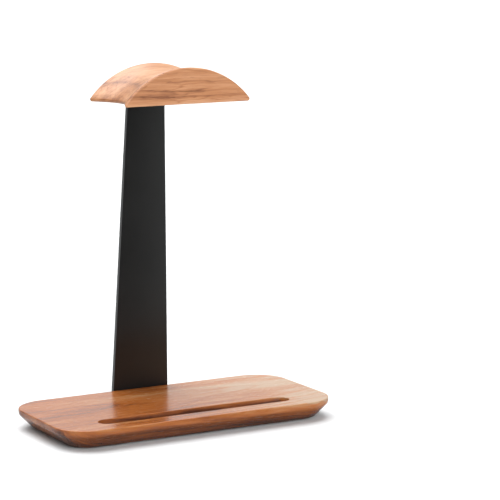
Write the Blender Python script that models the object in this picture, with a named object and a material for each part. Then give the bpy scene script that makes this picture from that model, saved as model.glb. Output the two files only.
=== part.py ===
"""Headphone stand: a walnut tray with a pen groove, one bent and tapered steel strap, and a walnut saddle.

Units are metres, +Z is up, -Y is the front and +X is to the right seen from the front. The origin is on the
desk, at the centre of the stand's footprint box. Shapes are drawn about the tray's centre and every object is
parented to one empty that carries the shift from there to the origin.
"""

import math

import bmesh
import bpy
from mathutils import Vector

MM = 0.001

# Tray
TRAY_LENGTH = 224.0 * MM
TRAY_DEPTH = 113.0 * MM
TRAY_HEIGHT = 14.4 * MM
TRAY_CORNER = 26.2 * MM
TRAY_UNDERCUT = 9.9 * MM  # how far the 45 degree flank runs in, and how high it rises
TRAY_TOP_EDGE = 0.8 * MM
TRAY_FLANK_BLEND = 4.0 * MM
GROOVE_LENGTH = 157.0 * MM
GROOVE_RADIUS = 7.3 * MM
GROOVE_DEPTH = 6.6 * MM
GROOVE_Y = -34.3 * MM

# Feet
FOOT_PROUD = 1.2 * MM
FOOT_RADIUS = 6.0 * MM
FOOT_POCKET = 0.8 * MM
FOOT_X = 86.0 * MM
FOOT_Y = 31.0 * MM

# Strap
STRAP = 4.0 * MM
STRAP_WIDTH_LOW = 47.4 * MM  # at the tray's underside
STRAP_WIDTH_HIGH = 30.6 * MM  # at the saddle's underside
STRAP_FRONT_LOW = 59.8 * MM  # the front face's line, at the tray's underside
STRAP_FRONT_HIGH = 40.0 * MM  # the same line, at the saddle's underside
HEEL_RADIUS = 8.2 * MM  # to the middle of the sheet
TOP_RADIUS = 4.8 * MM
LOW_FLANGE_END = -14.0 * MM
TOP_FLANGE_END = -19.0 * MM
FLANGE_CORNER = 7.0 * MM

# Saddle
SADDLE_RISE = 240.5 * MM  # tray underside to saddle underside
SADDLE_LENGTH = 104.6 * MM  # where the crest arc would meet the underside, before the tips are rounded
SADDLE_SAG = 26.4 * MM
SADDLE_FRONT = -30.1 * MM
SADDLE_REAR = 31.7 * MM
SADDLE_DIP = 7.7 * MM
SADDLE_LIP = 1.2 * MM
SADDLE_CREST = 0.75 * MM  # stands above the arc before the lips are eased
SADDLE_TIP = 1.6 * MM
RECESS_DEPTH = 4.3 * MM
RECESS_SIDE = 0.5 * MM
RECESS_CORNER = 0.5 * MM

# Fasteners: M4 countersunk socket screws in brass threaded inserts
SCREW_SHANK = 1.7 * MM
SCREW_HEAD = 4.0 * MM
SCREW_HEAD_HEIGHT = 2.3 * MM
SOCKET_FLATS = 2.5 * MM
SOCKET_DEPTH = 1.6 * MM
INSERT_BORE = 2.0 * MM
INSERT_OUTER = 3.0 * MM
BASE_INSERT_LENGTH = 6.0 * MM
SADDLE_INSERT_LENGTH = 9.0 * MM
BASE_SCREW_X = 14.5 * MM
BASE_SCREW_Y = (2.0 * MM, 32.0 * MM)
SADDLE_SCREW_Y = {"front": -8.0 * MM, "rear": 16.0 * MM}

GAP = 0.3 * MM

# Heights that follow from the above
TRAY_BOTTOM = FOOT_PROUD
TRAY_TOP = TRAY_BOTTOM + TRAY_HEIGHT
SADDLE_BOTTOM = TRAY_BOTTOM + SADDLE_RISE
TRAY_RECESS = STRAP + GAP
LOW_MID = TRAY_BOTTOM + STRAP / 2
TOP_MID = SADDLE_BOTTOM + RECESS_DEPTH - 2 * GAP - STRAP / 2
LEAN = math.atan((STRAP_FRONT_LOW - STRAP_FRONT_HIGH) / SADDLE_RISE)


def clear_scene():
    for obj in list(bpy.data.objects):
        bpy.data.objects.remove(obj, do_unlink=True)


def make_material(name, colour, roughness, metallic=0.0):
    material = bpy.data.materials.new(name)
    material.use_nodes = True
    shader = material.node_tree.nodes["Principled BSDF"]
    shader.inputs["Base Color"].default_value = (*colour, 1.0)
    shader.inputs["Roughness"].default_value = roughness
    shader.inputs["Metallic"].default_value = metallic
    material.diffuse_color = (*colour, 1.0)
    return material


def add_object(name, bm, material=None, smooth=35.0):
    bmesh.ops.recalc_face_normals(bm, faces=bm.faces)
    mesh = bpy.data.meshes.new(name)
    bm.to_mesh(mesh)
    bm.free()
    mesh.shade_smooth()
    mesh.set_sharp_from_angle(angle=math.radians(smooth))
    if material:
        mesh.materials.append(material)
    obj = bpy.data.objects.new(name, mesh)
    bpy.context.scene.collection.objects.link(obj)
    return obj


def add_cutter(name, bm):
    cutter = add_object(name, bm)
    cutter.hide_render = True
    cutter.display_type = "WIRE"
    return cutter


def cut(obj, *cutters):
    for cutter in cutters:
        modifier = obj.modifiers.new("cut_" + cutter.name, "BOOLEAN")
        modifier.operation = "DIFFERENCE"
        modifier.solver = "EXACT"
        modifier.object = cutter


def loft(bm, rings):
    """Skins a row of equal rings and closes both ends."""
    rows = [[bm.verts.new(point) for point in ring] for ring in rings]
    for low, high in zip(rows, rows[1:]):
        count = len(low)
        for i in range(count):
            j = (i + 1) % count
            bm.faces.new((low[i], low[j], high[j], high[i]))
    bm.faces.new(list(reversed(rows[0])))
    bm.faces.new(rows[-1])


def fillet(points, radii, steps):
    """A 2D polyline with each inner corner replaced by an arc of its radius."""
    out = [Vector(points[0])]
    for before, corner, after, radius in zip(points, points[1:], points[2:], radii):
        before, corner, after = Vector(before), Vector(corner), Vector(after)
        into, away = (corner - before).normalized(), (after - corner).normalized()
        turn = into.angle(away)
        if radius <= 0 or turn < 1e-4:
            out.append(corner)
            continue
        tangent = radius * math.tan(turn / 2)
        start = corner - into * tangent
        side = (away - into * into.dot(away)).normalized()
        centre = start + side * radius
        for k in range(steps + 1):
            a = turn * k / steps
            out.append(centre - side * radius * math.cos(a) + into * radius * math.sin(a))
    out.append(Vector(points[-1]))
    return out


def rounded_rectangle(half_x, half_y, radius, z, steps):
    ring = []
    for sx, sy, start in ((1, 1, 0), (-1, 1, 90), (-1, -1, 180), (1, -1, 270)):
        for k in range(steps + 1):
            a = math.radians(start + 90 * k / steps)
            ring.append(
                (
                    sx * (half_x - radius) + radius * math.cos(a),
                    sy * (half_y - radius) + radius * math.sin(a),
                    z,
                )
            )
    return ring


def circle(radius, z, steps, x=0.0, y=0.0):
    return [
        (
            x + radius * math.cos(2 * math.pi * k / steps),
            y + radius * math.sin(2 * math.pi * k / steps),
            z,
        )
        for k in range(steps)
    ]


def turned(profile, steps, x=0.0, y=0.0):
    """A solid turned about a vertical axis from (radius, z) pairs, listed upwards."""
    bm = bmesh.new()
    loft(bm, [circle(radius, z, steps, x, y) for radius, z in profile])
    return bm


# ---------------------------------------------------------------- tray


def tray_body():
    """Stacked rounded rectangles: a 45 degree flank, a soft blend, a short upright band and an eased top edge."""
    edge = 0.3 * MM
    profile = fillet(
        [
            (TRAY_UNDERCUT + edge, TRAY_BOTTOM),
            (TRAY_UNDERCUT, TRAY_BOTTOM + edge),
            (0.0, TRAY_BOTTOM + edge + TRAY_UNDERCUT),
            (0.0, TRAY_TOP),
            (TRAY_TOP_EDGE * 2, TRAY_TOP),
        ],
        [0.0, TRAY_FLANK_BLEND, TRAY_TOP_EDGE],
        3,
    )[:-1]
    bm = bmesh.new()
    loft(
        bm,
        [
            rounded_rectangle(
                TRAY_LENGTH / 2 - inset,
                TRAY_DEPTH / 2 - inset,
                TRAY_CORNER - inset,
                z,
                9,
            )
            for inset, z in profile
        ],
    )
    return bm


def groove_cutter():
    """A round-ended bar that lies along X with its axis just above the tray's top."""
    bm = bmesh.new()
    steps, quarter = 20, 6
    half = GROOVE_LENGTH / 2 - GROOVE_RADIUS
    axis_z = TRAY_TOP + GROOVE_RADIUS - GROOVE_DEPTH
    rings = []
    for end in (-1, 1):
        angles = [90 * (k + 0.35) / (quarter + 0.35) for k in range(quarter + 1)]
        for a in angles if end < 0 else reversed(angles):
            reach = GROOVE_RADIUS * math.cos(math.radians(a))
            radius = GROOVE_RADIUS * math.sin(math.radians(a))
            rings.append(
                [
                    (
                        end * (half + reach),
                        GROOVE_Y + radius * math.cos(2 * math.pi * k / steps),
                        axis_z + radius * math.sin(2 * math.pi * k / steps),
                    )
                    for k in range(steps)
                ]
            )
    loft(bm, rings)
    return bm


def strap_recess_cutter():
    """The shallow pocket in the tray's underside that the lower flange lies in."""
    bm = bmesh.new()
    half = STRAP_WIDTH_LOW / 2 + 2 * GAP
    rear = TRAY_DEPTH / 2 + 20 * MM
    front = LOW_FLANGE_END - 2 * GAP
    corner = FLANGE_CORNER + 2 * GAP
    outline = fillet(
        [(half, rear), (half, front), (-half, front), (-half, rear)], [corner, corner], 6
    )
    loft(
        bm,
        [
            [(p.x, p.y, z) for p in outline]
            for z in (TRAY_BOTTOM - 5 * MM, TRAY_BOTTOM + TRAY_RECESS)
        ],
    )
    return bm


def foot_places():
    return [(sx * FOOT_X, sy * FOOT_Y) for sy in (-1, 1) for sx in (-1, 1)]


def base_screw_places():
    return [(sx * BASE_SCREW_X, y) for y in BASE_SCREW_Y for sx in (-1, 1)]


# ---------------------------------------------------------------- strap


def strap_width(z):
    share = (z - TRAY_BOTTOM) / SADDLE_RISE
    share = min(max(share, 0.0), 1.0)
    return STRAP_WIDTH_LOW + (STRAP_WIDTH_HIGH - STRAP_WIDTH_LOW) * share


def strap_middle_y(z):
    return (
        STRAP_FRONT_LOW
        - math.tan(LEAN) * (z - TRAY_BOTTOM)
        + STRAP / 2 / math.cos(LEAN)
    )


def strap_body():
    """One sheet bent twice: lower flange, heel, leaning taper, top bend, upper flange."""
    corners = [
        (LOW_FLANGE_END, LOW_MID),
        (strap_middle_y(LOW_MID), LOW_MID),
        (strap_middle_y(TOP_MID), TOP_MID),
        (TOP_FLANGE_END, TOP_MID),
    ]
    path = fillet(corners, [HEEL_RADIUS, TOP_RADIUS], 9)
    # Extra stations near both free ends carry the rounded corners.
    round_off = [1 - math.cos(math.radians(90 * k / 5)) for k in range(1, 6)]
    low = [
        Vector((LOW_FLANGE_END + FLANGE_CORNER * share, LOW_MID)) for share in round_off
    ]
    high = [
        Vector((TOP_FLANGE_END + FLANGE_CORNER * share, TOP_MID))
        for share in reversed(round_off)
    ]
    path = [path[0], *low, *path[1:-1], *high, path[-1]]
    rings = []
    for i, point in enumerate(path):
        before, after = path[max(i - 1, 0)], path[min(i + 1, len(path) - 1)]
        if i in (0, len(path) - 1):
            along = (after - before).normalized()
        else:
            along = ((point - before).normalized() + (after - point).normalized()).normalized()
        normal = Vector((-along.y, along.x))
        thick = STRAP / 2
        if 0 < i < len(path) - 1:
            thick /= max(normal.dot(Vector((-(after - point).normalized().y, (after - point).normalized().x))), 0.9)
        width = strap_width(point.y)
        end = min(abs(point.x - LOW_FLANGE_END), FLANGE_CORNER) if point.y < 0.1 else min(abs(point.x - TOP_FLANGE_END), FLANGE_CORNER)
        half = width / 2 - FLANGE_CORNER + math.sqrt(
            max(FLANGE_CORNER**2 - (FLANGE_CORNER - end) ** 2, 0.0)
        )
        a, b = point - normal * thick, point + normal * thick
        rings.append([(-half, a.x, a.y), (half, a.x, a.y), (half, b.x, b.y), (-half, b.x, b.y)])
    bm = bmesh.new()
    loft(bm, rings)
    return bm


def heel_rear():
    """The rearmost point of the heel, which sets the depth of the whole stand."""
    centre_z = LOW_MID + HEEL_RADIUS
    return strap_middle_y(centre_z) - HEEL_RADIUS / math.cos(LEAN) + HEEL_RADIUS + STRAP / 2


def screw_hole(x, y, face):
    """A clearance hole with a 90 degree countersink that opens downwards at z = face."""
    hole, mouth = SCREW_SHANK + 0.5 * MM, SCREW_HEAD + GAP
    return turned(
        [
            (mouth + 1 * MM, face - 1 * MM),
            (mouth, face),
            (hole, face + mouth - hole),
            (hole, face + 8 * MM),
        ],
        20,
        x,
        y,
    )


# ---------------------------------------------------------------- saddle


def saddle_profile():
    """(y, radius) stations from the front face to the rear face: two eased lips with a shallow valley between."""
    half = (SADDLE_REAR - SADDLE_FRONT) / 2
    middle = (SADDLE_REAR + SADDLE_FRONT) / 2
    crest = saddle_radius() + SADDLE_CREST
    valley = [
        (half * k / 8, crest - SADDLE_DIP * (1 - (k / 8) ** 2)) for k in range(-8, 9)
    ]
    points = [(-half, crest - 4 * MM), *valley, (half, crest - 4 * MM)]
    radii = [SADDLE_LIP] + [0.0] * (len(valley) - 2) + [SADDLE_LIP]
    stations = fillet(points, radii, 4)[1:-1]
    return [(middle + p.x, p.y) for p in stations]


def saddle_radius():
    half = SADDLE_LENGTH / 2
    return (half**2 + SADDLE_SAG**2) / (2 * SADDLE_SAG)


def saddle_section(y, radius):
    """The half-moon outline at one station, in the XZ plane, with small round tips."""
    centre_z = SADDLE_BOTTOM + SADDLE_SAG - saddle_radius()
    tip_z = SADDLE_BOTTOM + SADDLE_TIP
    tip_x = math.sqrt((radius - SADDLE_TIP) ** 2 - (tip_z - centre_z) ** 2)
    meet = math.atan2(tip_z - centre_z, tip_x)
    ring = []
    for k in range(4):
        a = -math.pi / 2 + (meet + math.pi / 2) * k / 4
        ring.append((tip_x + SADDLE_TIP * math.cos(a), tip_z + SADDLE_TIP * math.sin(a)))
    for k in range(23):
        a = meet + (math.pi - 2 * meet) * k / 22
        ring.append((radius * math.cos(a), centre_z + radius * math.sin(a)))
    ring += [(-x, z) for x, z in reversed(ring[:4])]
    return [(x, y, z) for x, z in ring]


def saddle_body():
    bm = bmesh.new()
    loft(bm, [saddle_section(y, radius) for y, radius in saddle_profile()])
    return bm


def saddle_recess_cutter():
    """The channel in the saddle's underside, open at the rear face, that the upper flange slides into."""
    half = STRAP_WIDTH_HIGH / 2 + RECESS_SIDE
    low, high = SADDLE_BOTTOM - 5 * MM, SADDLE_BOTTOM + RECESS_DEPTH
    outline = fillet(
        [(-half, low), (-half, high), (half, high), (half, low)],
        [RECESS_CORNER, RECESS_CORNER],
        3,
    )
    bm = bmesh.new()
    loft(
        bm,
        [
            [(p.x, y, p.y) for p in outline]
            for y in (TOP_FLANGE_END - 1.5 * MM, SADDLE_REAR + 10 * MM)
        ],
    )
    return bm


# ---------------------------------------------------------------- fasteners


def insert_solid(length, low, x, y):
    """A short brass tube with a lead-in chamfer; its thread is left out."""
    bm = bmesh.new()
    steps = 18
    ease = 0.4 * MM
    outer = [
        (INSERT_OUTER - ease, low),
        (INSERT_OUTER, low + ease),
        (INSERT_OUTER, low + length - ease),
        (INSERT_OUTER - ease, low + length),
    ]
    inner = [(INSERT_BORE, low + length), (INSERT_BORE, low)]
    rows = [
        [bm.verts.new(p) for p in circle(radius, z, steps, x, y)]
        for radius, z in outer + inner
    ]
    for low_row, high_row in zip(rows, rows[1:] + rows[:1]):
        for i in range(steps):
            j = (i + 1) % steps
            bm.faces.new((low_row[i], low_row[j], high_row[j], high_row[i]))
    return bm


def screw_solid(length, face, x, y):
    """A countersunk screw, head down at z = face, with a hexagonal socket."""
    cone = SCREW_HEAD - SCREW_SHANK
    return turned(
        [
            (SCREW_HEAD - 0.1 * MM, face),
            (SCREW_HEAD, face + 0.15 * MM),
            (SCREW_SHANK, face + 0.15 * MM + cone),
            (SCREW_SHANK, face + length - 0.5 * MM),
            (SCREW_SHANK - 0.5 * MM, face + length),
        ],
        20,
        x,
        y,
    )


def socket_cutter(face, x, y):
    bm = bmesh.new()
    radius = SOCKET_FLATS / 2 / math.cos(math.radians(30))
    loft(bm, [circle(radius, z, 6, x, y) for z in (face - 1 * MM, face + SOCKET_DEPTH)])
    return bm


# ---------------------------------------------------------------- assembly


def main():
    clear_scene()
    walnut = make_material("tray_walnut", (0.52, 0.27, 0.15), 0.42)
    walnut_saddle = make_material("saddle_walnut", (0.50, 0.25, 0.13), 0.45)
    steel = make_material("black_powder_coat", (0.020, 0.019, 0.018), 0.45, 0.0)
    zinc = make_material("black_zinc_screw", (0.05, 0.05, 0.055), 0.35, 1.0)
    brass = make_material("insert_brass", (0.70, 0.50, 0.20), 0.35, 1.0)
    rubber = make_material("foot_rubber", (0.015, 0.015, 0.015), 0.85)

    tray = add_object("base_tray", tray_body(), walnut)
    strap = add_object("upright_bracket", strap_body(), steel)
    saddle = add_object("saddle_rest", saddle_body(), walnut_saddle)
    made = [tray, strap, saddle]

    cut(tray, add_cutter("cutter_groove", groove_cutter()))
    cut(tray, add_cutter("cutter_strap_recess", strap_recess_cutter()))
    cut(saddle, add_cutter("cutter_saddle_recess", saddle_recess_cutter()))

    low_face = TRAY_BOTTOM
    roof = TRAY_BOTTOM + TRAY_RECESS
    for number, (x, y) in enumerate(base_screw_places(), 1):
        pocket = turned(
            [
                (INSERT_OUTER + GAP, roof - 1 * MM),
                (INSERT_OUTER + GAP, roof + BASE_INSERT_LENGTH + 2 * GAP),
            ],
            18,
            x,
            y,
        )
        cut(tray, add_cutter(f"cutter_base_insert_{number}", pocket))
        cut(strap, add_cutter(f"cutter_base_hole_{number}", screw_hole(x, y, low_face)))
        insert = insert_solid(BASE_INSERT_LENGTH, roof, x, y)
        made.append(add_object(f"base_insert_{number}", insert, brass))
        screw = add_object(f"base_screw_{number}", screw_solid(9.0 * MM, low_face + 0.1 * MM, x, y), zinc)
        cut(screw, add_cutter(f"cutter_base_socket_{number}", socket_cutter(low_face, x, y)))
        made.append(screw)

    flange_face = TOP_MID - STRAP / 2
    roof = SADDLE_BOTTOM + RECESS_DEPTH
    for place, y in SADDLE_SCREW_Y.items():
        pocket = turned(
            [
                (INSERT_OUTER + GAP, roof - 1 * MM),
                (INSERT_OUTER + GAP, roof + SADDLE_INSERT_LENGTH + 2 * GAP),
            ],
            18,
            0.0,
            y,
        )
        cut(saddle, add_cutter(f"cutter_saddle_insert_{place}", pocket))
        cut(strap, add_cutter(f"cutter_saddle_hole_{place}", screw_hole(0.0, y, flange_face)))
        insert = insert_solid(SADDLE_INSERT_LENGTH, roof, 0.0, y)
        made.append(add_object(f"saddle_insert_{place}", insert, brass))
        screw = add_object(
            f"saddle_screw_{place}", screw_solid(11.0 * MM, flange_face + 0.1 * MM, 0.0, y), zinc
        )
        cut(screw, add_cutter(f"cutter_saddle_socket_{place}", socket_cutter(flange_face, 0.0, y)))
        made.append(screw)

    for number, (x, y) in enumerate(foot_places(), 1):
        pocket = turned(
            [
                (FOOT_RADIUS + GAP, TRAY_BOTTOM - 2 * MM),
                (FOOT_RADIUS + GAP, TRAY_BOTTOM + FOOT_POCKET),
            ],
            28,
            x,
            y,
        )
        cut(tray, add_cutter(f"cutter_foot_{number}", pocket))
        pad = turned(
            [
                (FOOT_RADIUS - 0.3 * MM, 0.0),
                (FOOT_RADIUS, 0.3 * MM),
                (FOOT_RADIUS, TRAY_BOTTOM + FOOT_POCKET - GAP),
            ],
            28,
            x,
            y,
        )
        made.append(add_object(f"foot_pad_{number}", pad, rubber))

    frame = bpy.data.objects.new("stand_frame", None)
    bpy.context.scene.collection.objects.link(frame)
    frame.location = (0.0, -(heel_rear() - TRAY_DEPTH / 2) / 2, 0.0)
    for obj in bpy.data.objects:
        if obj is not frame:
            obj.parent = frame


main()
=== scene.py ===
"""Visual scene for the headphone stand: a walnut tray with a pen groove, a bent and tapered steel strap in black
powder coat, and a walnut saddle, on a plain white studio floor.

Metres, +Z up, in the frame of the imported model. Shapes are drawn about the tray's centre and shifted back to it.
"""

import math

import bmesh
import bpy
from mathutils import Matrix, Vector


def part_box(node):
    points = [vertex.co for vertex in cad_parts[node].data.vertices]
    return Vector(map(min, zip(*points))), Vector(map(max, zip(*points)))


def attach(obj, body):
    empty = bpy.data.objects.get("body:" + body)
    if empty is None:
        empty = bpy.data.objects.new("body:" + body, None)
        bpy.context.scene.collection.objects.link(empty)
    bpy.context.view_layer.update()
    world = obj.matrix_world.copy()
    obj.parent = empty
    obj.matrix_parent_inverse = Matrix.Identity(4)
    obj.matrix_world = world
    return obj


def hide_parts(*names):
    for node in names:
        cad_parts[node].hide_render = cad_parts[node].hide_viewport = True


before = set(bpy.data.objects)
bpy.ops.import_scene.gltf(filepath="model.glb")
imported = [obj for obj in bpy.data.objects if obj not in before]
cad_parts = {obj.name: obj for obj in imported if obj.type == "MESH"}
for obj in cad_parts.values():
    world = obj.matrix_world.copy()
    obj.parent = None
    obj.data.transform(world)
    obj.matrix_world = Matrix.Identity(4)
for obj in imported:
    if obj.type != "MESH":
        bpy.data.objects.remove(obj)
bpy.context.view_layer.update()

MM = 0.001

# Tray
TRAY_LENGTH = 224.0 * MM
TRAY_DEPTH = 113.0 * MM
TRAY_HEIGHT = 14.4 * MM
TRAY_CORNER = 26.2 * MM
TRAY_UNDERCUT = 9.9 * MM
TRAY_TOP_EDGE = 0.8 * MM
TRAY_FLANK_BLEND = 4.0 * MM
GROOVE_LENGTH = 157.0 * MM
GROOVE_RADIUS = 7.3 * MM
GROOVE_DEPTH = 6.6 * MM
GROOVE_Y = -34.3 * MM
GROOVE_RIM = 0.5 * MM

# Feet
FOOT_PROUD = 1.2 * MM
FOOT_RADIUS = 6.0 * MM
FOOT_POCKET = 0.8 * MM
FOOT_X = 86.0 * MM
FOOT_Y = 31.0 * MM

# Strap
STRAP = 4.0 * MM
STRAP_EDGE = 0.35 * MM
STRAP_WIDTH_LOW = 47.4 * MM
STRAP_WIDTH_HIGH = 30.6 * MM
STRAP_FRONT_LOW = 59.8 * MM
STRAP_FRONT_HIGH = 40.0 * MM
HEEL_RADIUS = 8.2 * MM
TOP_RADIUS = 4.8 * MM
LOW_FLANGE_END = -14.0 * MM
TOP_FLANGE_END = -19.0 * MM
FLANGE_CORNER = 7.0 * MM

# Saddle
SADDLE_RISE = 240.5 * MM
SADDLE_LENGTH = 104.6 * MM
SADDLE_SAG = 26.4 * MM
SADDLE_FRONT = -30.1 * MM
SADDLE_REAR = 31.7 * MM
SADDLE_DIP = 7.7 * MM
SADDLE_LIP = 1.2 * MM
SADDLE_CREST = 0.75 * MM
SADDLE_TIP = 1.6 * MM
SADDLE_EASE = 0.5 * MM
RECESS_DEPTH = 4.3 * MM
RECESS_SIDE = 0.5 * MM
RECESS_CORNER = 0.5 * MM

# Fasteners
SCREW_SHANK = 1.7 * MM
SCREW_HEAD = 4.0 * MM
SOCKET_FLATS = 2.5 * MM
SOCKET_DEPTH = 1.6 * MM
INSERT_OUTER = 3.0 * MM
BASE_INSERT_LENGTH = 6.0 * MM
SADDLE_INSERT_LENGTH = 9.0 * MM
BASE_SCREW_X = 14.5 * MM
BASE_SCREW_Y = (2.0 * MM, 32.0 * MM)
SADDLE_SCREW_Y = {"front": -8.0 * MM, "rear": 16.0 * MM}

GAP = 0.3 * MM

TRAY_BOTTOM = FOOT_PROUD
TRAY_TOP = TRAY_BOTTOM + TRAY_HEIGHT
SADDLE_BOTTOM = TRAY_BOTTOM + SADDLE_RISE
TRAY_RECESS = STRAP + GAP
LOW_MID = TRAY_BOTTOM + STRAP / 2
TOP_MID = SADDLE_BOTTOM + RECESS_DEPTH - 2 * GAP - STRAP / 2
LEAN = math.atan((STRAP_FRONT_LOW - STRAP_FRONT_HIGH) / SADDLE_RISE)

low_corner, high_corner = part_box("base_tray")
SHIFT = Vector((0.0, (low_corner.y + high_corner.y) / 2, 0.0))


# ---------------------------------------------------------------- mesh helpers


def raw_object(name, bm):
    bmesh.ops.recalc_face_normals(bm, faces=bm.faces)
    mesh = bpy.data.meshes.new(name)
    bm.to_mesh(mesh)
    bm.free()
    obj = bpy.data.objects.new(name, mesh)
    bpy.context.scene.collection.objects.link(obj)
    return obj


def carve(obj, solids):
    """Takes the solids out of obj, applies the result and removes the cutters."""
    cutters = []
    for number, bm in enumerate(solids):
        cutter = raw_object(f"{obj.name}_cutter_{number}", bm)
        modifier = obj.modifiers.new(f"cut_{number}", "BOOLEAN")
        modifier.operation = "DIFFERENCE"
        modifier.solver = "EXACT"
        modifier.object = cutter
        cutters.append(cutter)
    bpy.context.view_layer.update()
    graph = bpy.context.evaluated_depsgraph_get()
    made = bpy.data.meshes.new_from_object(obj.evaluated_get(graph))
    obj.modifiers.clear()
    old = obj.data
    obj.data = made
    made.name = obj.name
    bpy.data.meshes.remove(old)
    for cutter in cutters:
        mesh = cutter.data
        bpy.data.objects.remove(cutter)
        bpy.data.meshes.remove(mesh)


def finish_piece(obj, material, slot, *nodes, smooth=32.0):
    """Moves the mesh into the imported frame, shades it and hands it to the root body."""
    obj.data.transform(Matrix.Translation(SHIFT))
    obj.data.shade_smooth()
    obj.data.set_sharp_from_angle(angle=math.radians(smooth))
    weighted = obj.modifiers.new("weighted_normals", "WEIGHTED_NORMAL")
    weighted.keep_sharp = True
    weighted.weight = 100
    obj.data.materials.clear()
    obj.data.materials.append(material)
    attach(obj, "root")
    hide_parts(*nodes)
    return obj


def loft(bm, rings):
    rows = [[bm.verts.new(point) for point in ring] for ring in rings]
    for low, high in zip(rows, rows[1:]):
        count = len(low)
        for i in range(count):
            j = (i + 1) % count
            bm.faces.new((low[i], low[j], high[j], high[i]))
    bm.faces.new(list(reversed(rows[0])))
    bm.faces.new(rows[-1])
    return bm


def fillet(points, radii, steps):
    """A 2D polyline with each inner corner replaced by an arc of its radius."""
    out = [Vector(points[0])]
    for before, corner, after, radius in zip(points, points[1:], points[2:], radii):
        before, corner, after = Vector(before), Vector(corner), Vector(after)
        into, away = (corner - before).normalized(), (after - corner).normalized()
        turn = into.angle(away)
        if radius <= 0 or turn < 1e-4:
            out.append(corner)
            continue
        tangent = radius * math.tan(turn / 2)
        start = corner - into * tangent
        side = (away - into * into.dot(away)).normalized()
        centre = start + side * radius
        for k in range(steps + 1):
            a = turn * k / steps
            out.append(centre - side * radius * math.cos(a) + into * radius * math.sin(a))
    out.append(Vector(points[-1]))
    return out


def rounded_rectangle(half_x, half_y, radius, z, steps):
    ring = []
    for sx, sy, start in ((1, 1, 0), (-1, 1, 90), (-1, -1, 180), (1, -1, 270)):
        for k in range(steps + 1):
            a = math.radians(start + 90 * k / steps)
            ring.append(
                (
                    sx * (half_x - radius) + radius * math.cos(a),
                    sy * (half_y - radius) + radius * math.sin(a),
                    z,
                )
            )
    return ring


def circle(radius, z, steps, x=0.0, y=0.0, turn=0.0):
    return [
        (
            x + radius * math.cos(2 * math.pi * k / steps + turn),
            y + radius * math.sin(2 * math.pi * k / steps + turn),
            z,
        )
        for k in range(steps)
    ]


def turned(profile, steps, x=0.0, y=0.0):
    return loft(bmesh.new(), [circle(radius, z, steps, x, y) for radius, z in profile])


# ---------------------------------------------------------------- tray


def tray_body():
    profile = fillet(
        [
            (TRAY_UNDERCUT + GAP + 3 * MM, TRAY_BOTTOM),
            (TRAY_UNDERCUT + GAP, TRAY_BOTTOM),
            (0.0, TRAY_BOTTOM + GAP + TRAY_UNDERCUT),
            (0.0, TRAY_TOP),
            (TRAY_TOP_EDGE * 3, TRAY_TOP),
        ],
        [0.7 * MM, TRAY_FLANK_BLEND, TRAY_TOP_EDGE],
        8,
    )[1:-1]
    return loft(
        bmesh.new(),
        [
            rounded_rectangle(
                TRAY_LENGTH / 2 - inset,
                TRAY_DEPTH / 2 - inset,
                TRAY_CORNER - inset,
                z,
                32,
            )
            for inset, z in profile
        ],
    )


def groove_solid():
    """The pen groove as stacked stadium outlines: a round bottom, ball ends and a softly broken rim."""
    straight = GROOVE_LENGTH / 2 - GROOVE_RADIUS
    axis_z = TRAY_TOP + GROOVE_RADIUS - GROOVE_DEPTH
    rows = []
    top = math.acos((axis_z - (TRAY_TOP - GROOVE_RIM)) / GROOVE_RADIUS)
    steps = 22
    for k in range(steps + 1):
        a = math.radians(3) + (top - math.radians(3)) * k / steps
        rows.append((GROOVE_RADIUS * math.sin(a), axis_z - GROOVE_RADIUS * math.cos(a)))
    wall = rows[-1][0]
    for k in range(1, 6):
        a = math.radians(76 * k / 5)
        rows.append(
            (
                wall + GROOVE_RIM * (1 - math.cos(a)),
                TRAY_TOP - GROOVE_RIM + GROOVE_RIM * math.sin(a) / math.sin(math.radians(76)),
            )
        )
    last = rows[-1][0]
    rows.append((last + 0.6 * MM, TRAY_TOP + 0.25 * MM))
    rows.append((last + 0.6 * MM, TRAY_TOP + 4 * MM))
    rings = []
    for radius, z in rows:
        ring = []
        for side, start in ((1, -90), (-1, 90)):
            for k in range(25):
                a = math.radians(start + 180 * k / 24)
                ring.append(
                    (side * straight + radius * math.cos(a), GROOVE_Y + radius * math.sin(a), z)
                )
        rings.append(ring)
    return loft(bmesh.new(), rings)


def strap_recess_solid():
    half = STRAP_WIDTH_LOW / 2 + 2 * GAP
    rear = TRAY_DEPTH / 2 + 20 * MM
    front = LOW_FLANGE_END - 2 * GAP
    corner = FLANGE_CORNER + 2 * GAP
    outline = fillet(
        [(half, rear), (half, front), (-half, front), (-half, rear)], [corner, corner], 20
    )
    return loft(
        bmesh.new(),
        [
            [(p.x, p.y, z) for p in outline]
            for z in (TRAY_BOTTOM - 5 * MM, TRAY_BOTTOM + TRAY_RECESS)
        ],
    )


def foot_places():
    return [(sx * FOOT_X, sy * FOOT_Y) for sy in (-1, 1) for sx in (-1, 1)]


def base_screw_places():
    return [(sx * BASE_SCREW_X, y) for y in BASE_SCREW_Y for sx in (-1, 1)]


# ---------------------------------------------------------------- strap


def strap_width(z):
    share = min(max((z - TRAY_BOTTOM) / SADDLE_RISE, 0.0), 1.0)
    return STRAP_WIDTH_LOW + (STRAP_WIDTH_HIGH - STRAP_WIDTH_LOW) * share


def strap_middle_y(z):
    return (
        STRAP_FRONT_LOW
        - math.tan(LEAN) * (z - TRAY_BOTTOM)
        + STRAP / 2 / math.cos(LEAN)
    )


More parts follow.
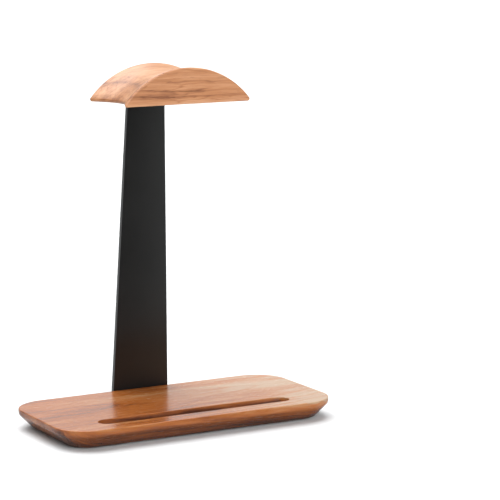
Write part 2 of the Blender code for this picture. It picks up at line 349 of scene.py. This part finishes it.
def strap_body():
    """One sheet bent twice, with every long edge broken by a small radius."""
    corners = [
        (LOW_FLANGE_END, LOW_MID),
        (strap_middle_y(LOW_MID), LOW_MID),
        (strap_middle_y(TOP_MID), TOP_MID),
        (TOP_FLANGE_END, TOP_MID),
    ]
    bends = fillet(corners, [HEEL_RADIUS, TOP_RADIUS], 28)[1:-1]
    half_path = len(bends) // 2
    stations = [STRAP_EDGE * (1 - math.cos(math.radians(a))) for a in (0, 20, 40, 60, 90)]
    stations += [FLANGE_CORNER * (1 - math.cos(math.radians(a))) for a in range(22, 91, 4)]
    low = [Vector((LOW_FLANGE_END + s, LOW_MID)) for s in stations]
    high = [Vector((TOP_FLANGE_END + s, TOP_MID)) for s in reversed(stations)]
    heel, crown = bends[:half_path], bends[half_path:]
    rise = [heel[-1].lerp(crown[0], k / 24) for k in range(1, 24)]
    path = [*low, *heel, *rise, *crown, *high]
    rings = []
    for i, point in enumerate(path):
        before, after = path[max(i - 1, 0)], path[min(i + 1, len(path) - 1)]
        along = (after - before).normalized()
        normal = Vector((-along.y, along.x))
        near = min(
            abs(point.x - LOW_FLANGE_END) if point.y < 0.1 else 1.0,
            abs(point.x - TOP_FLANGE_END) if point.y > 0.1 else 1.0,
        )
        end = min(near, FLANGE_CORNER)
        half = strap_width(point.y) / 2 - FLANGE_CORNER + math.sqrt(
            max(FLANGE_CORNER**2 - (FLANGE_CORNER - end) ** 2, 0.0)
        )
        soft = min(near, STRAP_EDGE)
        thick = STRAP / 2 - STRAP_EDGE + math.sqrt(
            max(STRAP_EDGE**2 - (STRAP_EDGE - soft) ** 2, 0.0)
        )
        ring = []
        for sx, sn, start in ((1, 1, 0), (-1, 1, 90), (-1, -1, 180), (1, -1, 270)):
            for k in range(6):
                a = math.radians(start + 18 * k)
                x = sx * (half - STRAP_EDGE) + STRAP_EDGE * math.cos(a)
                n = sn * (thick - STRAP_EDGE) + STRAP_EDGE * math.sin(a)
                q = point + normal * n
                ring.append((x, q.x, q.y))
        rings.append(ring)
    return loft(bmesh.new(), rings)


def screw_hole(x, y, face):
    hole, mouth = SCREW_SHANK + 0.5 * MM, SCREW_HEAD + GAP
    return turned(
        [
            (mouth + 1 * MM, face - 0.85 * MM),
            (mouth + 0.15 * MM, face),
            (mouth, face + 0.1 * MM),
            (hole, face + mouth - hole + 0.05 * MM),
            (hole, face + 8 * MM),
        ],
        48,
        x,
        y,
    )


# ---------------------------------------------------------------- saddle


def saddle_radius():
    half = SADDLE_LENGTH / 2
    return (half**2 + SADDLE_SAG**2) / (2 * SADDLE_SAG)


def saddle_stations():
    """(y, crest radius, ease) from the front face to the rear face."""
    half = (SADDLE_REAR - SADDLE_FRONT) / 2
    middle = (SADDLE_REAR + SADDLE_FRONT) / 2
    crest = saddle_radius() + SADDLE_CREST
    shares = [-1.0, *[k / 32 for k in range(-28, 29)], 1.0]
    valley = [(half * share, crest - SADDLE_DIP * (1 - share**2)) for share in shares]
    points = [(-half, crest - 4 * MM), *valley, (half, crest - 4 * MM)]
    radii = [SADDLE_LIP] + [0.0] * (len(valley) - 2) + [SADDLE_LIP]
    out = []
    for p in fillet(points, radii, 10)[1:-1]:
        depth = half - abs(p.x)
        soft = min(depth, SADDLE_EASE)
        ease = SADDLE_EASE - math.sqrt(max(SADDLE_EASE**2 - (SADDLE_EASE - soft) ** 2, 0.0))
        out.append((middle + p.x, p.y, ease))
    return out


def saddle_section(y, radius, ease):
    centre_z = SADDLE_BOTTOM + SADDLE_SAG - saddle_radius()
    tip_z = SADDLE_BOTTOM + SADDLE_TIP
    tip_x = math.sqrt((radius - SADDLE_TIP) ** 2 - (tip_z - centre_z) ** 2)
    tip = SADDLE_TIP - ease
    crest = math.hypot(tip_x, tip_z - centre_z) + SADDLE_TIP
    meet = math.atan2(tip_z - centre_z, tip_x)
    ring = []
    side = []
    for k in range(9):
        a = -math.pi / 2 + (meet + math.pi / 2) * k / 9
        side.append((tip_x + tip * math.cos(a), tip_z + tip * math.sin(a)))
    ring += side
    reach = crest - ease * 0.0
    count = 84
    for k in range(count + 1):
        a = meet + (math.pi - 2 * meet) * k / count
        blend = min(k, count - k) / 4
        r = reach - (ease * max(1 - blend, 0.0))
        ring.append((r * math.cos(a), centre_z + r * math.sin(a)))
    ring += [(-x, z) for x, z in reversed(side)]
    return [(x, y, z) for x, z in ring]


def saddle_body():
    return loft(bmesh.new(), [saddle_section(*row) for row in saddle_stations()])


def saddle_recess_solid():
    half = STRAP_WIDTH_HIGH / 2 + RECESS_SIDE
    low, high = SADDLE_BOTTOM - 5 * MM, SADDLE_BOTTOM + RECESS_DEPTH
    outline = fillet(
        [(-half, low), (-half, high), (half, high), (half, low)],
        [RECESS_CORNER, RECESS_CORNER],
        6,
    )
    return loft(
        bmesh.new(),
        [
            [(p.x, y, p.y) for p in outline]
            for y in (TOP_FLANGE_END - 1.5 * MM, SADDLE_REAR + 10 * MM)
        ],
    )


# ---------------------------------------------------------------- small pieces


def screw_body(name, length, face, x, y):
    """A countersunk screw, head down, with a broken head rim, a coned hexagonal socket and rolled thread ridges."""
    cone = SCREW_HEAD - SCREW_SHANK
    profile = [
        (SCREW_HEAD - 0.22 * MM, face),
        (SCREW_HEAD - 0.08 * MM, face + 0.03 * MM),
        (SCREW_HEAD, face + 0.11 * MM),
        (SCREW_HEAD, face + 0.17 * MM),
        (SCREW_SHANK + 0.1 * MM, face + 0.12 * MM + cone),
        (SCREW_SHANK, face + 0.30 * MM + cone),
    ]
    z = face + 0.55 * MM + cone
    while z < face + length - 1.0 * MM:
        profile += [(SCREW_SHANK - 0.16 * MM, z), (SCREW_SHANK, z + 0.25 * MM), (SCREW_SHANK, z + 0.35 * MM)]
        z += 0.7 * MM
    profile += [(SCREW_SHANK - 0.1 * MM, face + length - 0.5 * MM), (SCREW_SHANK - 0.5 * MM, face + length)]
    obj = raw_object(name, turned(profile, 48, x, y))
    radius = SOCKET_FLATS / 2 / math.cos(math.radians(30))
    socket = loft(
        bmesh.new(),
        [
            circle(radius + 1.15 * MM, face - 1.0 * MM, 6, x, y),
            circle(radius, face + 0.15 * MM, 6, x, y),
            circle(radius, face + SOCKET_DEPTH - 0.1 * MM, 6, x, y),
            circle(radius * 0.35, face + SOCKET_DEPTH + 0.25 * MM, 6, x, y),
        ],
    )
    carve(obj, [socket])
    return obj


def foot_body(name, x, y):
    """A rubber pad with a moulded rim and shallow rings on its underside."""
    top = TRAY_BOTTOM + FOOT_POCKET - GAP
    profile = [
        (0.6 * MM, 0.12 * MM),
        (2.2 * MM, 0.12 * MM),
        (2.4 * MM, 0.0),
        (3.1 * MM, 0.0),
        (3.3 * MM, 0.12 * MM),
        (4.0 * MM, 0.12 * MM),
        (4.2 * MM, 0.0),
        (FOOT_RADIUS - 0.45 * MM, 0.0),
        (FOOT_RADIUS - 0.22 * MM, 0.06 * MM),
        (FOOT_RADIUS - 0.06 * MM, 0.22 * MM),
        (FOOT_RADIUS, 0.45 * MM),
        (FOOT_RADIUS, top - 0.2 * MM),
        (FOOT_RADIUS - 0.2 * MM, top),
    ]
    return raw_object(name, turned(profile, 72, x, y))


# ---------------------------------------------------------------- materials


class Graph:
    """Short calls for building a node tree."""

    def __init__(self, name):
        self.material = bpy.data.materials.new(name)
        self.material.use_nodes = True
        self.tree = self.material.node_tree
        self.shader = self.tree.nodes["Principled BSDF"]
        coordinates = self.tree.nodes.new("ShaderNodeTexCoord")
        self.place = coordinates.outputs["Object"]

    def link(self, source, target):
        if isinstance(source, (int, float)):
            target.default_value = source
        elif isinstance(source, tuple):
            target.default_value = source
        else:
            self.tree.links.new(source, target)

    def node(self, kind, **settings):
        node = self.tree.nodes.new(kind)
        for key, value in settings.items():
            setattr(node, key, value)
        return node

    def math(self, operation, a, b=0.0, c=0.0, clamp=False):
        node = self.node("ShaderNodeMath", operation=operation, use_clamp=clamp)
        for value, socket in zip((a, b, c), node.inputs):
            self.link(value, socket)
        return node.outputs[0]

    def vector(self, operation, a, b=(0.0, 0.0, 0.0), scale=1.0):
        node = self.node("ShaderNodeVectorMath", operation=operation)
        self.link(a, node.inputs[0])
        self.link(b, node.inputs[1])
        if operation == "SCALE":
            self.link(scale, node.inputs["Scale"])
        return node.outputs["Value"] if operation in ("LENGTH", "DOT_PRODUCT") else node.outputs[0]

    def noise(self, vector, scale, detail=2.0, roughness=0.5, distortion=0.0, colour=False):
        node = self.node("ShaderNodeTexNoise", noise_dimensions="3D")
        self.link(vector, node.inputs["Vector"])
        node.inputs["Scale"].default_value = scale
        node.inputs["Detail"].default_value = detail
        node.inputs["Roughness"].default_value = roughness
        node.inputs["Distortion"].default_value = distortion
        return node.outputs["Color" if colour else "Fac"]

    def ramp(self, value, stops, interpolation="LINEAR"):
        node = self.node("ShaderNodeValToRGB")
        node.color_ramp.interpolation = interpolation
        while len(node.color_ramp.elements) < len(stops):
            node.color_ramp.elements.new(0.5)
        for element, (position, colour) in zip(node.color_ramp.elements, stops):
            element.position = position
            if isinstance(colour, (int, float)):
                colour = (colour, colour, colour)
            element.color = (*colour, 1.0)
        self.link(value, node.inputs["Fac"])
        return node.outputs["Color"]

    def mix(self, factor, a, b, blend="MIX"):
        node = self.node("ShaderNodeMix", data_type="RGBA", blend_type=blend)
        self.link(factor, node.inputs[0])
        for value, socket in ((a, node.inputs[6]), (b, node.inputs[7])):
            self.link((*value, 1.0) if isinstance(value, tuple) and len(value) == 3 else value, socket)
        return node.outputs[2]

    def spread(self, value, low, high, to_low=0.0, to_high=1.0):
        node = self.node("ShaderNodeMapRange", clamp=True)
        for v, socket in zip((value, low, high, to_low, to_high), node.inputs):
            self.link(v, socket)
        return node.outputs[0]

    def bump(self, height, strength, distance):
        node = self.node("ShaderNodeBump")
        node.inputs["Strength"].default_value = strength
        node.inputs["Distance"].default_value = distance
        self.link(height, node.inputs["Height"])
        self.link(node.outputs["Normal"], self.shader.inputs["Normal"])


def walnut(name, tones, seed, pith, taper, ring, streak, wave, gloss, ends, depth, groove_shade_band, vein, figure):
    """Walnut cut with its grain along X. Growth rings wrap a pith line below the board, so a flat face shows an arched
    figure, an edge shows straight lines and an end shows the ring curves."""
    g = Graph(name)
    here = g.vector("ADD", g.place, seed)

    # The trunk isn't straight: the whole figure wanders sideways along the board.
    slow = g.noise(g.vector("MULTIPLY", here, (7.0, 16.0, 16.0)), 1.0, 2.0, 0.45, colour=True)
    drift = g.vector("SUBTRACT", slow, (0.5, 0.5, 0.5))
    drift = g.vector("MULTIPLY", drift, (0.0, wave, wave))
    bent = g.vector("ADD", g.place, drift)

    # Growth rings round the pith.
    cross = g.vector("MULTIPLY", g.vector("SUBTRACT", bent, (0.0, pith[0], pith[1])), (0.0, 1.0, 1.0))
    radius = g.vector("LENGTH", cross)
    split = g.node("ShaderNodeSeparateXYZ")
    g.link(g.place, split.inputs[0])
    along = split.outputs[0]
    radius = g.math("ADD", radius, g.math("MULTIPLY", along, taper))
    rings = g.math("MULTIPLY", radius, 1.0 / ring)
    widths = g.node("ShaderNodeTexNoise", noise_dimensions="1D")
    g.link(rings, widths.inputs["W"])
    widths.inputs["Scale"].default_value = 0.55
    widths.inputs["Detail"].default_value = 2.0
    uneven = g.math("ADD", rings, g.math("MULTIPLY", widths.outputs["Fac"], 1.6))
    phase = g.math("FRACT", uneven)
    late = g.ramp(phase, [(0.0, 0.30), (0.10, 0.06), (0.55, 0.10), (0.86, 0.55), (0.96, 1.0), (1.0, 0.30)])
    bands = g.node("ShaderNodeTexNoise", noise_dimensions="1D")
    g.link(rings, bands.inputs["W"])
    bands.inputs["Scale"].default_value = 0.9
    bands.inputs["Detail"].default_value = 3.0
    bands.inputs["Roughness"].default_value = 0.6

    # Long soft streaks, finer fibres and short open pores, all drawn out along X.
    long_streaks = g.noise(g.vector("MULTIPLY", g.vector("ADD", bent, seed), (9.0, 110.0, 110.0)), 1.0, 4.0, 0.55)
    fine = g.noise(g.vector("MULTIPLY", g.vector("ADD", bent, seed), (38.0, 620.0, 620.0)), 1.0, 3.0, 0.6)
    pores = g.noise(g.vector("MULTIPLY", here, (130.0, 2300.0, 2300.0)), 1.0, 1.0, 0.4)
    pores = g.spread(pores, 0.64, 0.74)
    pore_zone = g.spread(late, 0.0, 0.8, 0.35, 1.0)
    pores = g.math("MULTIPLY", pores, pore_zone)

    # One darkness value drives the colour.
    dark = g.math("MULTIPLY", g.spread(bands.outputs["Fac"], 0.28, 0.72), 0.42 * figure)
    dark = g.math("ADD", dark, g.math("MULTIPLY", late, 0.20 * figure))
    dark = g.math("ADD", dark, g.math("MULTIPLY", g.spread(long_streaks, 0.3, 0.72), streak))
    dark = g.math("ADD", dark, g.math("MULTIPLY", g.spread(fine, 0.25, 0.75), 0.20))
    # Thin dark veins where a slow noise crosses its middle value.
    crossing = g.noise(g.vector("MULTIPLY", g.vector("ADD", bent, seed), (17.0, 190.0, 190.0)), 1.0, 3.0, 0.55, 0.4)
    crossing = g.math("ABSOLUTE", g.math("SUBTRACT", crossing, 0.5))
    dark = g.math("ADD", dark, g.spread(crossing, 0.0, 0.035, vein, 0.0))
    patches = g.noise(g.vector("MULTIPLY", here, (11.0, 26.0, 26.0)), 1.0, 2.0, 0.5)
    dark = g.math("ADD", dark, g.math("MULTIPLY", g.math("SUBTRACT", patches, 0.5), 0.50))
    # The board runs paler towards its right end.
    away = g.spread(along, ends[0], ends[1])
    away = g.math("MULTIPLY", away, g.spread(split.outputs[2], depth[0] - 4 * MM, depth[0]))
    dark = g.math("SUBTRACT", dark, g.math("MULTIPLY", away, ends[2]))
    # Partly the wood's own tone and partly painted shade: the colour darkens steadily towards −X.
    dark = g.math("ADD", dark, g.math("MULTIPLY", along, ends[3]))
    # Painted shade: the colour darkens downwards from just under the top face, standing in for the shade on the lower
    # flank and in the groove.
    dark = g.math("ADD", dark, g.spread(split.outputs[2], depth[1], depth[0], depth[2], 0.0))
    # Painted shade in the routed groove: below its rim the colour is darkened further.
    across = g.math("ABSOLUTE", g.math("SUBTRACT", split.outputs[1], groove_shade_band[0]))
    painted_groove_shade = g.spread(across, groove_shade_band[1], groove_shade_band[1] + 0.6 * MM, groove_shade_band[2], 0.0)
    painted_groove_shade = g.math("MULTIPLY", painted_groove_shade, g.spread(split.outputs[2], depth[0] - 2.2 * MM, depth[0], 1.0, 0.0))
    dark = g.math("ADD", dark, painted_groove_shade)
    colour = g.ramp(dark, tones)

    # Grey-violet heartwood clouds pull some streaks away from orange.
    cloud = g.noise(g.vector("MULTIPLY", g.vector("ADD", bent, seed), (6.0, 60.0, 60.0)), 1.0, 3.0, 0.5)
    cloud = g.spread(cloud, 0.5, 0.75, 0.0, 0.45)
    colour = g.mix(cloud, colour, (0.90, 0.88, 0.93), "MULTIPLY")
    colour = g.mix(g.math("MULTIPLY", pores, 0.55), colour, (0.30, 0.22, 0.18), "MULTIPLY")
    g.link(colour, g.shader.inputs["Base Color"])

    rough = g.math("ADD", gloss, g.math("MULTIPLY", g.math("SUBTRACT", fine, 0.5), 0.12))
    rough = g.math("ADD", rough, g.math("MULTIPLY", pores, 0.18))
    rough = g.math("ADD", rough, g.math("MULTIPLY", late, -0.03))
    g.link(rough, g.shader.inputs["Roughness"])
    g.shader.inputs["IOR"].default_value = 1.5

    height = g.math("MULTIPLY", pores, -1.0)
    height = g.math("ADD", height, g.math("MULTIPLY", fine, 0.35))
    height = g.math("ADD", height, g.math("MULTIPLY", late, 0.25))
    g.bump(height, 0.35, 0.00006)
    return g.material


def powder_coat(name):
    """Baked black powder coat: a fine orange peel, slightly uneven in gloss, with a faint dust of lighter grains."""
    g = Graph(name)
    peel = g.noise(g.place, 1500.0, 3.0, 0.55)
    broad = g.noise(g.place, 22.0, 2.0, 0.5)
    grain = g.noise(g.place, 4200.0, 1.0, 0.5)
    base = g.ramp(
        g.math("ADD", g.math("MULTIPLY", peel, 0.6), g.math("MULTIPLY", broad, 0.4)),
        [(0.3, (0.0030, 0.0029, 0.0027)), (0.7, (0.0058, 0.0055, 0.0052))],
    )
    specks = g.spread(grain, 0.66, 0.78, 0.0, 0.5)
    base = g.mix(specks, base, (0.020, 0.019, 0.018))
    g.link(base, g.shader.inputs["Base Color"])
    rough = g.math("ADD", 0.27, g.math("MULTIPLY", peel, 0.10))
    rough = g.math("ADD", rough, g.math("MULTIPLY", g.math("SUBTRACT", broad, 0.5), 0.10))
    g.link(rough, g.shader.inputs["Roughness"])
    g.shader.inputs["IOR"].default_value = 1.52
    g.bump(g.math("ADD", peel, g.math("MULTIPLY", grain, 0.3)), 0.22, 0.00005)
    return g.material


def black_zinc(name):
    """Black zinc plate on steel: dark, slightly iridescent brown-blue, with turning marks."""
    g = Graph(name)
    cloud = g.noise(g.place, 260.0, 3.0, 0.6)
    marks = g.noise(g.vector("MULTIPLY", g.place, (900.0, 900.0, 7000.0)), 1.0, 2.0, 0.5)
    colour = g.ramp(cloud, [(0.3, (0.035, 0.036, 0.042)), (0.55, (0.055, 0.052, 0.050)), (0.75, (0.075, 0.066, 0.058))])
    g.link(colour, g.shader.inputs["Base Color"])
    g.shader.inputs["Metallic"].default_value = 1.0
    g.link(g.math("ADD", 0.28, g.math("MULTIPLY", cloud, 0.18)), g.shader.inputs["Roughness"])
    g.bump(marks, 0.15, 0.00003)
    return g.material


def brass(name):
    """Machined brass with knurl lines round the insert and a dull tarnish in patches."""
    g = Graph(name)
    tarnish = g.noise(g.place, 420.0, 3.0, 0.6)
    lines = g.noise(g.vector("MULTIPLY", g.place, (1200.0, 1200.0, 9000.0)), 1.0, 2.0, 0.5)
    colour = g.ramp(tarnish, [(0.3, (0.72, 0.52, 0.23)), (0.6, (0.62, 0.42, 0.17)), (0.8, (0.42, 0.28, 0.12))])
    g.link(colour, g.shader.inputs["Base Color"])
    g.shader.inputs["Metallic"].default_value = 1.0
    g.link(g.math("ADD", 0.24, g.math("MULTIPLY", tarnish, 0.25)), g.shader.inputs["Roughness"])
    g.bump(lines, 0.2, 0.00004)
    return g.material


def rubber(name):
    """Moulded black rubber, matt, with a fine tooth and a bloom of paler dust."""
    g = Graph(name)
    tooth = g.noise(g.place, 3600.0, 2.0, 0.6)
    bloom = g.noise(g.place, 180.0, 3.0, 0.6)
    colour = g.ramp(bloom, [(0.35, (0.012, 0.012, 0.013)), (0.75, (0.028, 0.027, 0.027))])
    g.link(colour, g.shader.inputs["Base Color"])
    g.link(g.math("ADD", 0.68, g.math("MULTIPLY", tooth, 0.22)), g.shader.inputs["Roughness"])
    g.bump(tooth, 0.3, 0.00006)
    return g.material


TRAY_TONES = [
    (0.04, (0.440, 0.285, 0.172)),
    (0.26, (0.415, 0.172, 0.062)),
    (0.50, (0.345, 0.102, 0.020)),
    (0.70, (0.235, 0.064, 0.015)),
    (0.98, (0.080, 0.023, 0.009)),
]
SADDLE_TONES = [
    (0.08, (0.620, 0.355, 0.205)),
    (0.36, (0.550, 0.268, 0.130)),
    (0.61, (0.425, 0.176, 0.071)),
    (0.95, (0.190, 0.062, 0.025)),
]

tray_wood = walnut(
    "walnut_tray_oiled",
    TRAY_TONES,
    seed=(0.31, 0.17, 0.05),
    pith=(0.004, -0.034),
    taper=0.08,
    ring=8.5 * MM,
    streak=0.34,
    wave=0.022,
    gloss=0.25,
    ends=(0.000, 0.090, 0.46, 0.0),
    # The last value of depth sets the strength of the painted shade towards the bottom.
    depth=(TRAY_TOP - 0.3 * MM, TRAY_BOTTOM + 2.0 * MM, 0.36),
    # The groove's y, its radius and the strength of the painted shade inside it.
    groove_shade_band=(GROOVE_Y + SHIFT.y, GROOVE_RADIUS, 0.26),
    vein=0.10,
    figure=0.95,
)
saddle_wood = walnut(
    "walnut_saddle_oiled",
    SADDLE_TONES,
    seed=(1.73, 0.62, 0.41),
    pith=(0.020, 0.060),
    taper=0.03,
    ring=6.4 * MM,
    streak=0.46,
    wave=0.011,
    gloss=0.34,
    # The last value of ends darkens the saddle towards −X, partly its own tone and partly painted shade.
    ends=(0.03, 0.06, 0.0, -2.5),
    depth=(SADDLE_BOTTOM, SADDLE_BOTTOM - 1 * MM, 0.0),
    groove_shade_band=(1.0, 0.0, 0.0),
    vein=0.20,
    figure=0.62,
)
coat = powder_coat("black_powder_coat_fine")
zinc = black_zinc("black_zinc_plate")
insert_brass = brass("machined_brass")
pad_rubber = rubber("moulded_rubber")


# ---------------------------------------------------------------- pieces

tray = raw_object("tray_visual", tray_body())
solids = [groove_solid(), strap_recess_solid()]
roof = TRAY_BOTTOM + TRAY_RECESS
for x, y in base_screw_places():
    solids.append(
        turned([(INSERT_OUTER + GAP, roof - 1 * MM), (INSERT_OUTER + GAP, roof + BASE_INSERT_LENGTH + 2 * GAP)], 36, x, y)
    )
for x, y in foot_places():
    solids.append(
        turned([(FOOT_RADIUS + GAP, TRAY_BOTTOM - 2 * MM), (FOOT_RADIUS + GAP, TRAY_BOTTOM + FOOT_POCKET)], 64, x, y)
    )
carve(tray, solids)
finish_piece(tray, tray_wood, "walnut_tray", "base_tray")

strap = raw_object("strap_visual", strap_body())
flange_face = TOP_MID - STRAP / 2
solids = [screw_hole(x, y, TRAY_BOTTOM) for x, y in base_screw_places()]
solids += [screw_hole(0.0, y, flange_face) for y in SADDLE_SCREW_Y.values()]
carve(strap, solids)
finish_piece(strap, coat, "black_powder_coat", "upright_bracket")

saddle = raw_object("saddle_visual", saddle_body())
solids = [saddle_recess_solid()]
roof = SADDLE_BOTTOM + RECESS_DEPTH
for y in SADDLE_SCREW_Y.values():
    solids.append(
        turned([(INSERT_OUTER + GAP, roof - 1 * MM), (INSERT_OUTER + GAP, roof + SADDLE_INSERT_LENGTH + 2 * GAP)], 36, 0.0, y)
    )
carve(saddle, solids)
finish_piece(saddle, saddle_wood, "walnut_saddle", "saddle_rest")

for number, (x, y) in enumerate(base_screw_places(), 1):
    screw = screw_body(f"base_screw_visual_{number}", 9.0 * MM, TRAY_BOTTOM + 0.1 * MM, x, y)
    finish_piece(screw, zinc, "black_zinc", f"base_screw_{number}")
for place, y in SADDLE_SCREW_Y.items():
    screw = screw_body(f"saddle_screw_visual_{place}", 11.0 * MM, flange_face + 0.1 * MM, 0.0, y)
    finish_piece(screw, zinc, "black_zinc", f"saddle_screw_{place}")
for number, (x, y) in enumerate(foot_places(), 1):
    pad = foot_body(f"foot_pad_visual_{number}", x, y)
    finish_piece(pad, pad_rubber, "foot_rubber", f"foot_pad_{number}")

for name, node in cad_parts.items():
    if "insert" in name:
        for material_slot in node.material_slots:
            material_slot.link = "OBJECT"
            material_slot.material = insert_brass


# ---------------------------------------------------------------- stage and light

scene = bpy.context.scene


def disc(name, radius, z, colour):
    """A round floor, plain and pale."""
    bm = bmesh.new()
    bm.faces.new([bm.verts.new(p) for p in circle(radius, z, 96)])
    mesh = bpy.data.meshes.new(name)
    bm.to_mesh(mesh)
    bm.free()
    obj = bpy.data.objects.new(name, mesh)
    scene.collection.objects.link(obj)
    material = bpy.data.materials.new(name + "_matt")
    material.use_nodes = True
    shader = material.node_tree.nodes["Principled BSDF"]
    shader.inputs["Base Color"].default_value = (colour, colour, colour, 1.0)
    shader.inputs["Roughness"].default_value = 1.0
    shader.inputs["Specular IOR Level"].default_value = 0.0
    mesh.materials.append(material)
    return obj


# The floor the camera sees, and just under it a greyer one that sends light back up at the stand.
floor = disc("floor", 12.5, 0.0, 0.72)
floor.visible_diffuse = False
floor.visible_glossy = False
floor.visible_shadow = False
bounce = disc("floor_bounce", 12.5, -0.4 * MM, 0.50)
bounce.visible_camera = False


def glow(name, bm, colour, strength):
    """A studio surface that gives off its own even light, or none at all."""
    mesh = bpy.data.meshes.new(name)
    bm.to_mesh(mesh)
    bm.free()
    obj = bpy.data.objects.new(name, mesh)
    scene.collection.objects.link(obj)
    material = bpy.data.materials.new(name + "_glow")
    material.use_nodes = True
    shader = material.node_tree.nodes["Principled BSDF"]
    shader.inputs["Base Color"].default_value = (0.0, 0.0, 0.0, 1.0)
    shader.inputs["Specular IOR Level"].default_value = 0.0
    shader.inputs["Roughness"].default_value = 1.0
    shader.inputs["Emission Color"].default_value = (colour, colour, colour, 1.0)
    shader.inputs["Emission Strength"].default_value = strength
    mesh.materials.append(material)
    obj.visible_shadow = False
    return obj


# A white cyclorama far behind everything, seen by the camera only.
bm = bmesh.new()
wall = [[bm.verts.new(p) for p in circle(12.0, z, 96)] for z in (-0.5, 8.0)]
for i in range(96):
    j = (i + 1) % 96
    bm.faces.new((wall[0][i], wall[0][j], wall[1][j], wall[1][i]))
cyclorama = glow("cyclorama", bm, 1.0, 1.08)
cyclorama.visible_diffuse = False
cyclorama.visible_glossy = False

# A dark flag in front of the strap, seen only in its gloss, shades its sheen from the right edge to the left.
bm = bmesh.new()
FLAG_LOW, FLAG_HIGH = 0.098, 0.080
flag_points = [(-0.30, -0.115, -0.02), (FLAG_LOW, -0.115, -0.02), (FLAG_HIGH, -0.115, 0.24), (-0.30, -0.115, 0.24)]
bm.faces.new([bm.verts.new(p) for p in flag_points])
flag = glow("dark_flag", bm, 0.0, 0.0)
flag.visible_camera = False
flag.visible_diffuse = False

# The sky: bright behind the stand and dim in front, with a large soft key high behind and a low fill in front.
SKY_FRONT, SKY_BACK = 0.14, 0.36
HORIZON = 0.58
HORIZON_AZIMUTH, HORIZON_ELEVATION = 151.5, 9.0
KEY = 5.2
KEY_AZIMUTH, KEY_ELEVATION = 190.0, 73.0
FILL = 5.4
FILL_AZIMUTH, FILL_ELEVATION = -4.0, 19.0

world = bpy.data.worlds.new("soft_studio")
scene.world = world
world.use_nodes = True
tree = world.node_tree
background = tree.nodes["Background"]
direction = tree.nodes.new("ShaderNodeTexCoord").outputs["Generated"]


def facing(vector, start, end, low, high):
    """How far the sky's direction agrees with a vector, smoothly mapped from (start, end) to (low, high)."""
    dot = tree.nodes.new("ShaderNodeVectorMath")
    dot.operation = "DOT_PRODUCT"
    tree.links.new(direction, dot.inputs[0])
    dot.inputs[1].default_value = vector
    lobe = tree.nodes.new("ShaderNodeMapRange")
    lobe.interpolation_type = "SMOOTHSTEP"
    for socket, value in zip(list(lobe.inputs)[1:5], (start, end, low, high)):
        socket.default_value = value
    tree.links.new(dot.outputs["Value"], lobe.inputs["Value"])
    return lobe.outputs[0]


def toward(azimuth, elevation):
    a, e = math.radians(azimuth), math.radians(elevation)
    return (math.sin(a) * math.cos(e), -math.cos(a) * math.cos(e), math.sin(e))


def cosine(degrees):
    return math.cos(math.radians(degrees))


lights = [
    facing((0.0, 1.0, 0.25), -0.35, 0.60, SKY_FRONT, SKY_BACK),
    facing(toward(HORIZON_AZIMUTH, HORIZON_ELEVATION), cosine(42), cosine(18), 0.0, HORIZON),
    facing(toward(KEY_AZIMUTH, KEY_ELEVATION), cosine(40), cosine(16), 0.0, KEY),
    facing(toward(FILL_AZIMUTH, FILL_ELEVATION), cosine(34), cosine(12), 0.0, FILL),
]
total = lights[0]
for extra in lights[1:]:
    add = tree.nodes.new("ShaderNodeMath")
    add.operation = "ADD"
    tree.links.new(total, add.inputs[0])
    tree.links.new(extra, add.inputs[1])
    total = add.outputs[0]
tree.links.new(total, background.inputs["Strength"])
background.inputs["Color"].default_value = (0.975, 0.99, 1.0, 1.0)


# ---------------------------------------------------------------- camera

CAMERA_AZIMUTH = -28.5220
CAMERA_ELEVATION = 8.8130
CAMERA_ROLL = -0.5500
CAMERA_TARGET = Vector((103.740, 70.124 + SHIFT.y / MM, 111.782 + FOOT_PROUD / MM)) * MM
CAMERA_DISTANCE = 1746.44 * MM
CAMERA_FOCAL = 2195.68 / 500 * 36

a, e, r = (math.radians(v) for v in (CAMERA_AZIMUTH, CAMERA_ELEVATION, CAMERA_ROLL))
back = Vector((math.sin(a) * math.cos(e), -math.cos(a) * math.cos(e), math.sin(e)))
right = Vector((math.cos(a), math.sin(a), 0.0))
up = right.cross(-back)
right_rolled = right * math.cos(r) + up * math.sin(r)
up_rolled = -right * math.sin(r) + up * math.cos(r)
camera_data = bpy.data.cameras.new("camera")
camera_data.sensor_width = 36.0
camera_data.lens = CAMERA_FOCAL
camera_data.clip_start = 0.05
camera_data.clip_end = 200.0
camera = bpy.data.objects.new("camera", camera_data)
scene.collection.objects.link(camera)
camera.matrix_world = Matrix.Translation(CAMERA_TARGET + back * CAMERA_DISTANCE) @ Matrix(
    (
        (right_rolled.x, up_rolled.x, back.x, 0.0),
        (right_rolled.y, up_rolled.y, back.y, 0.0),
        (right_rolled.z, up_rolled.z, back.z, 0.0),
        (0.0, 0.0, 0.0, 1.0),
    )
)
scene.camera = camera
scene.view_settings.view_transform = "Standard"
